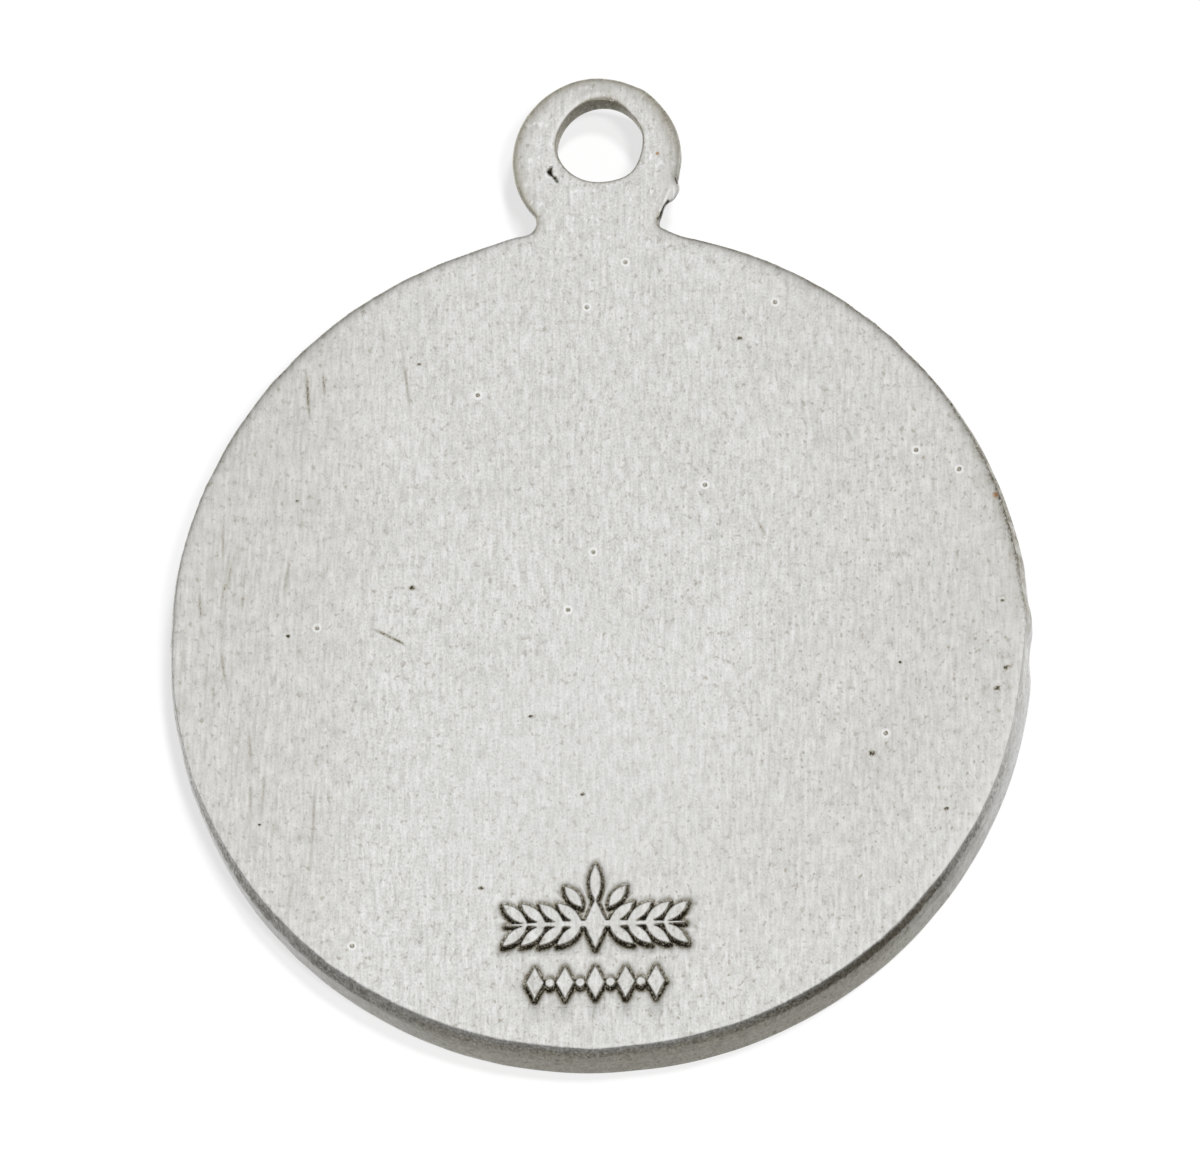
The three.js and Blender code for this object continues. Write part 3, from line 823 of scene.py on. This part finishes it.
class Nodes:
    """Short calls for the node tree of a material or of the surroundings."""

    def __init__(self, owner):
        owner.use_nodes = True
        self.tree = owner.node_tree

    def new(self, kind, **values):
        node = self.tree.nodes.new(kind)
        for key, value in values.items():
            setattr(node, key, value)
        return node

    def link(self, output, socket):
        self.tree.links.new(output, socket)

    def math(self, operation, a, b=None, clamp=False):
        node = self.new("ShaderNodeMath", operation=operation, use_clamp=clamp)
        for number, value in enumerate((a, b)):
            if value is None:
                continue
            if isinstance(value, (int, float)):
                node.inputs[number].default_value = value
            else:
                self.link(value, node.inputs[number])
        return node.outputs[0]

    def attribute(self, name):
        return self.new("ShaderNodeAttribute", attribute_name=name).outputs["Fac"]

    def noise(self, vector, scale, detail=2.0, roughness=0.5):
        """Noise with its own count of grains to the millimetre along each axis."""
        stretch = self.new("ShaderNodeVectorMath", operation="MULTIPLY")
        stretch.inputs[1].default_value = tuple(s / MM for s in scale)
        self.link(vector, stretch.inputs[0])
        node = self.new("ShaderNodeTexNoise")
        node.inputs["Scale"].default_value = 1.0
        node.inputs["Detail"].default_value = detail
        node.inputs["Roughness"].default_value = roughness
        self.link(stretch.outputs[0], node.inputs["Vector"])
        return node.outputs["Fac"]

    def spread(self, value, low, high, to_low=0.0, to_high=1.0):
        node = self.new("ShaderNodeMapRange", interpolation_type="LINEAR", clamp=True)
        self.link(value, node.inputs["Value"])
        limits = {"From Min": low, "From Max": high, "To Min": to_low, "To Max": to_high}
        for key, number in limits.items():
            node.inputs[key].default_value = number
        return node.outputs["Result"]

    def line(self, vector, mark):
        """1 on a straight mark on the back, 0 from its width on; the vector lies in the back's plane."""
        start, end = (Vector((*mark[key], 0.0)) * MM for key in ("from", "to"))
        reach = end - start
        offset = self.new("ShaderNodeVectorMath", operation="SUBTRACT")
        offset.inputs[1].default_value = start
        self.link(vector, offset.inputs[0])
        along = self.new("ShaderNodeVectorMath", operation="DOT_PRODUCT")
        along.inputs[1].default_value = reach / reach.length_squared
        self.link(offset.outputs["Vector"], along.inputs[0])
        nearest = self.new("ShaderNodeVectorMath", operation="SCALE")
        nearest.inputs[0].default_value = reach
        self.link(self.math("ADD", along.outputs["Value"], 0.0, clamp=True), nearest.inputs["Scale"])
        away = self.new("ShaderNodeVectorMath", operation="DISTANCE")
        self.link(offset.outputs["Vector"], away.inputs[0])
        self.link(nearest.outputs["Vector"], away.inputs[1])
        return self.spread(away.outputs["Value"], mark["width"] * MM, mark["width"] * 0.3 * MM)

    def part(self, vector, axis):
        """One coordinate of a vector."""
        split = self.new("ShaderNodeSeparateXYZ")
        self.link(vector, split.inputs[0])
        return split.outputs[axis]

    def leaning(self, vector, degrees):
        """A vector turned about Z."""
        node = self.new("ShaderNodeVectorRotate", rotation_type="Z_AXIS")
        node.inputs["Angle"].default_value = math.radians(degrees)
        self.link(vector, node.inputs["Vector"])
        return node.outputs["Vector"]

    def within(self, vector, spot):
        """1 in the middle of a round spot, 0 from its radius on."""
        away = self.new("ShaderNodeVectorMath", operation="DISTANCE")
        away.inputs[1].default_value = (spot["x"] * MM, spot["y"] * MM, 0.0)
        self.link(vector, away.inputs[0])
        return self.spread(away.outputs["Value"], spot["radius"] * MM, spot["radius"] * 0.3 * MM)

    def weighed(self, layers):
        """The sum of noises about a half, each times its weight."""
        total = None
        for value, weight in layers:
            share = self.math("MULTIPLY", self.math("SUBTRACT", value, 0.5), weight)
            total = share if total is None else self.math("ADD", total, share)
        return self.math("ADD", total, 0.5, clamp=True)

    def tint(self, colour, to, *shares):
        """A colour moved to another by the product of some shares."""
        share = shares[0]
        for each in shares[1:]:
            share = self.math("MULTIPLY", share, each)
        return self.mix(share, colour, to)

    def ramp(self, value, stops, low, high):
        """A grey level for a value: stops are pairs of value and level."""
        node = self.new("ShaderNodeValToRGB")
        elements = node.color_ramp.elements
        while len(elements) < len(stops):
            elements.new(0.5)
        for element, (at, level) in zip(elements, stops):
            element.position = (at - low) / (high - low)
            element.color = (level, level, level, 1)
        self.link(self.spread(value, low, high), node.inputs["Fac"])
        return node.outputs["Color"]

    def scaled(self, colour, by):
        node = self.new("ShaderNodeVectorMath", operation="MULTIPLY")
        node.inputs[1].default_value = by
        self.link(colour, node.inputs[0])
        return node.outputs[0]

    def mix(self, factor, a, b):
        node = self.new("ShaderNodeMix", data_type="RGBA", clamp_factor=True)
        self.link(factor, node.inputs["Factor"])
        for socket, value in ((node.inputs[6], a), (node.inputs[7], b)):
            if isinstance(value, tuple):
                socket.default_value = (*value, 1.0)
            else:
                self.link(value, socket)
        return node.outputs[2]


# Colours of the silver, with the patina colours that also carry painted shade and the white of painted
# highlights, and where its face is calmer
DARK_GRAIN, PALE_GRAIN, AGED = (0.61, 0.607, 0.578), (1.0, 1.0, 0.995), (1.0, 0.965, 0.85)
SHEARED_DARK, SHEARED_PALE = (0.1, 0.086, 0.06), (0.31, 0.28, 0.215)
TARNISH_SHADE_PALE, TARNISH_SHADE_DARK = (0.42, 0.388, 0.31), (0.045, 0.038, 0.026)
HIGHLIGHT_WHITE, RUST_BROWN = (1.0, 1.0, 0.99), (0.47, 0.26, 0.12)
STREAK_LEAN = 4.0
BUMP_HEIGHT = 0.008
CALM_SPOT = {"x": 0.0, "y": -3.6, "radius": 5.0}


def silver_material():
    material = bpy.data.materials.new("brushed_silver")
    n = Nodes(material)
    shader = n.tree.nodes["Principled BSDF"]
    place = n.new("ShaderNodeTexCoord").outputs["Object"]
    grain = n.noise(place, (20.0, 15.0, 12.0), detail=2.0, roughness=0.7)
    brush = n.noise(place, (12.0, 1.6, 4.0), detail=2.0, roughness=0.6)
    strokes = n.noise(n.leaning(place, STREAK_LEAN), (10.0, 0.5, 2.0), detail=2.0, roughness=0.6)
    mottle = n.noise(place, (4.5, 3.6, 4.0), detail=2.0, roughness=0.6)
    clouds = n.noise(place, (0.5, 0.35, 0.5), detail=3.0)
    specks = n.noise(place, (7.0, 5.5, 6.0), detail=2.0, roughness=0.6)
    tears = n.noise(place, (10.0, 10.0, 2.5), detail=3.0, roughness=0.65)
    tarnish_and_shade = n.attribute("tarnish_and_shade")
    torn = n.attribute("torn")
    bright = n.attribute("bright")
    aged = n.attribute("aged")

    left = n.spread(n.part(place, "X"), -4.5 * MM, -8.0 * MM)
    upper = n.spread(n.part(place, "Y"), 8.5 * MM, 10.0 * MM)
    shade = n.weighed(((grain, 2.0), (brush, 1.3), (mottle, 0.75), (clouds, 0.3)))
    light = n.mix(shade, DARK_GRAIN, PALE_GRAIN)
    light = n.tint(light, (0.4, 0.37, 0.3), n.spread(specks, 0.58, 0.72), 0.6)
    light = n.tint(light, (0.5, 0.475, 0.42), n.spread(strokes, 0.52, 0.68), left, 0.3)
    right = n.math("SUBTRACT", n.part(place, "X"), n.part(place, "Y"))
    right = n.spread(right, -6 * MM, 8 * MM, 0.45, 1.0)
    dots = n.spread(n.noise(place, (7.6, 6.4, 6.0), detail=1.0), 0.665, 0.75)
    light = n.tint(light, (0.34, 0.3, 0.22), dots, right, 0.6)
    flecks = n.noise(place, (8.0, 4.5, 6.0), detail=1.0)
    light = n.tint(light, (1.0, 1.0, 1.0), n.spread(flecks, 0.62, 0.72), upper)
    light = n.tint(light, (0.805, 0.803, 0.787), n.within(place, CALM_SPOT), 0.24)
    blotches = n.spread(n.noise(place, (5.0, 3.2, 4.0), detail=1.0), 0.52, 0.7)
    light = n.tint(light, (0.42, 0.4, 0.34), blotches, right, 0.13)
    broken = n.mix(n.spread(tears, 0.32, 0.68), SHEARED_DARK, SHEARED_PALE)
    chips = n.noise(place, (13.0, 13.0, 9.0), detail=2.0, roughness=0.7)
    ragged = n.math("MULTIPLY", n.math("SUBTRACT", chips, 0.5), n.spread(torn, 0.0, 0.2, 0.0, 2.2))
    ragged = n.math("ADD", torn, ragged, clamp=True)
    colour = n.mix(ragged, n.mix(aged, light, n.scaled(light, AGED)), broken)
    # Painted highlights from the bright weight whiten the colour
    colour = n.tint(colour, HIGHLIGHT_WHITE, bright)
    # The patina weight, which also carries painted shade, darkens the colour, gritty with the grain
    gritty = n.math("MULTIPLY", tarnish_and_shade, n.spread(grain, 0.32, 0.68, 0.25, 1.8))
    colour = n.tint(colour, TARNISH_SHADE_PALE, n.spread(gritty, 0.0, 0.45))
    colour = n.tint(colour, TARNISH_SHADE_DARK, n.spread(gritty, 0.35, 0.95))
    flat = n.scaled(place, (1.0, 1.0, 0.0))
    # Painted highlights along the ridges beside the neck
    for mark in RIDGE_HIGHLIGHTS:
        colour = n.tint(colour, (1.0, 1.0, 1.0), n.line(flat, mark), 0.7)
    # Painted shade along the creases beside the neck
    for mark in CREASE_SHADES:
        colour = n.tint(colour, (0.04, 0.035, 0.025), n.line(flat, mark), 0.85)
    for spot in RUST:
        colour = n.tint(colour, RUST_BROWN, n.within(place, spot))
    n.link(colour, shader.inputs["Base Color"])

    rough = n.math("ADD", n.spread(grain, 0.3, 0.7, 0.34, 0.46), n.math("MULTIPLY", tarnish_and_shade, 0.2))
    rough = n.math("ADD", rough, n.math("MULTIPLY", torn, 0.12))
    n.link(rough, shader.inputs["Roughness"])
    shader.inputs["Metallic"].default_value = 1.0

    face_height = n.math("ADD", n.math("MULTIPLY", brush, 0.7), n.math("MULTIPLY", grain, 0.3))
    torn_height = n.math("MULTIPLY", n.math("MULTIPLY", tears, torn), 5.0)
    bump = n.new("ShaderNodeBump")
    bump.inputs["Strength"].default_value = 1.0
    bump.inputs["Distance"].default_value = BUMP_HEIGHT * MM
    n.link(n.math("ADD", face_height, torn_height), bump.inputs["Height"])
    n.link(bump.outputs["Normal"], shader.inputs["Normal"])
    return material


# Floor, light and camera

FLOOR_SIZE, FLOOR_GREY, FLOOR_GLOW = 1.2, 0.15, 0.669


def make_floor():
    mesh = bpy.data.meshes.new("floor")
    half, z = FLOOR_SIZE / 2, LOW.z
    corners = [(-half, -half, z), (half, -half, z), (half, half, z), (-half, half, z)]
    mesh.from_pydata(corners, [], [(0, 1, 2, 3)])
    floor = bpy.data.objects.new("floor", mesh)
    bpy.context.scene.collection.objects.link(floor)
    material = bpy.data.materials.new("pale_floor")
    material.use_nodes = True
    shader = material.node_tree.nodes["Principled BSDF"]
    shader.inputs["Base Color"].default_value = (FLOOR_GREY, FLOOR_GREY, FLOOR_GREY, 1)
    shader.inputs["Roughness"].default_value = 1.0
    shader.inputs["Specular IOR Level"].default_value = 0.0
    shader.inputs["Emission Color"].default_value = (1, 1, 1, 1)
    shader.inputs["Emission Strength"].default_value = FLOOR_GLOW
    mesh.materials.append(material)
    floor.visible_glossy = False


# Lamps: tilt from overhead, direction round from +X, and power. The first casts the shadow at the lower
# left, the second the faint one at the upper left.
LAMPS = ({"tilt": 13.6, "turn": 31.0, "power": 2.5}, {"tilt": 19.4, "turn": -38.0, "power": 1.9})
LAMP_DISTANCE, LAMP_SIZE = 0.5, 0.06


def make_lamps():
    for number, each in enumerate(LAMPS):
        tilt, turn = math.radians(each["tilt"]), math.radians(each["turn"])
        lamp = bpy.data.lights.new(f"lamp_{number + 1}", "AREA")
        lamp.shape = "DISK"
        lamp.size = LAMP_SIZE
        lamp.energy = each["power"]
        made = bpy.data.objects.new(f"lamp_{number + 1}", lamp)
        place = Vector((math.sin(tilt) * math.cos(turn), math.sin(tilt) * math.sin(turn), math.cos(tilt)))
        made.location = place * LAMP_DISTANCE
        made.rotation_mode = "QUATERNION"
        made.rotation_quaternion = place.to_track_quat("Z", "Y")
        made.visible_glossy = False
        bpy.context.scene.collection.objects.link(made)


# Brightness of the surroundings: above by height, below from the near left side to the far right side
ABOVE = ((0.0, 0.22), (0.3, 0.36), (0.6, 0.6), (0.8, 0.81), (0.9, 0.93), (1.0, 1.06))
BELOW = ((-0.6, 0.275), (-0.22, 0.29), (-0.1, 0.42), (0.0, 0.61), (0.1, 0.75), (0.2, 0.88), (0.35, 1.0))
BELOW_TURN = -0.08
SIDE_FROM, SIDE_TO, SIDE_LEVEL = 0.7, 0.93, 0.42
HORIZON_LOW, HORIZON_HIGH = -0.25, 0.05


def make_world():
    """Soft light all round: bright overhead, dim at the horizon, and below it brighter on the far side."""
    world = bpy.data.worlds.new("studio")
    n = Nodes(world)
    background = n.tree.nodes["Background"]
    direction = n.new("ShaderNodeTexCoord").outputs["Generated"]
    x, y, z = (n.part(direction, axis) for axis in "XYZ")
    above = n.ramp(z, ABOVE, 0.0, 1.0)
    below = n.ramp(n.math("ADD", n.math("MULTIPLY", x, BELOW_TURN), y), BELOW, -0.6, 0.6)
    n.link(n.mix(n.spread(z, HORIZON_LOW, HORIZON_HIGH), below, above), background.inputs["Color"])
    glow = n.spread(x, SIDE_FROM, SIDE_TO, 0.0, SIDE_LEVEL)
    n.link(n.math("ADD", glow, 1.0), background.inputs["Strength"])
    bpy.context.scene.world = world


CAMERA_TILT, CAMERA_AZIMUTH = 18.41, 13.67
CAMERA_DISTANCE = 180 * MM
IMAGE_WIDTH, IMAGE_HEIGHT = 1200, 1153
SENSOR_WIDTH = 36.0
PIXELS_PER_MM = 42.868
DISC_PIXEL = (595.3, 632.4)


def make_camera():
    """The camera stands over the back, a little towards its bottom and its right, with +Y straight up in
    the picture, turned so that the disc's middle falls on its pixel."""
    tilt, turn = math.radians(CAMERA_TILT), math.radians(CAMERA_AZIMUTH)
    back = Vector((math.sin(turn) * math.sin(tilt), -math.cos(turn) * math.sin(tilt), math.cos(tilt)))
    focal_pixels = PIXELS_PER_MM * CAMERA_DISTANCE / MM
    forward = -back
    right = forward.cross(Vector((0, 1, 0))).normalized()
    up = right.cross(forward)
    aside = (IMAGE_WIDTH / 2 - DISC_PIXEL[0]) / focal_pixels
    above = (DISC_PIXEL[1] - IMAGE_HEIGHT / 2) / focal_pixels
    forward = (forward + right * aside + up * above).normalized()
    right = forward.cross(Vector((0, 1, 0))).normalized()
    up = right.cross(forward)
    data = bpy.data.cameras.new("camera")
    data.sensor_fit = "HORIZONTAL"
    data.sensor_width = SENSOR_WIDTH
    data.lens = focal_pixels * SENSOR_WIDTH / IMAGE_WIDTH
    data.clip_start, data.clip_end = 0.01, 10
    camera = bpy.data.objects.new("camera", data)
    axes = Matrix((right, up, -forward)).transposed().to_4x4()
    camera.matrix_world = Matrix.Translation(back * CAMERA_DISTANCE) @ axes
    bpy.context.scene.collection.objects.link(camera)
    bpy.context.scene.camera = camera


make_camera()
medal = make_medal()
medal.data.materials.append(silver_material())
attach(medal, "root")
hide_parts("medal")
make_floor()
make_lamps()
make_world()
bpy.context.scene.view_settings.view_transform = "Standard"
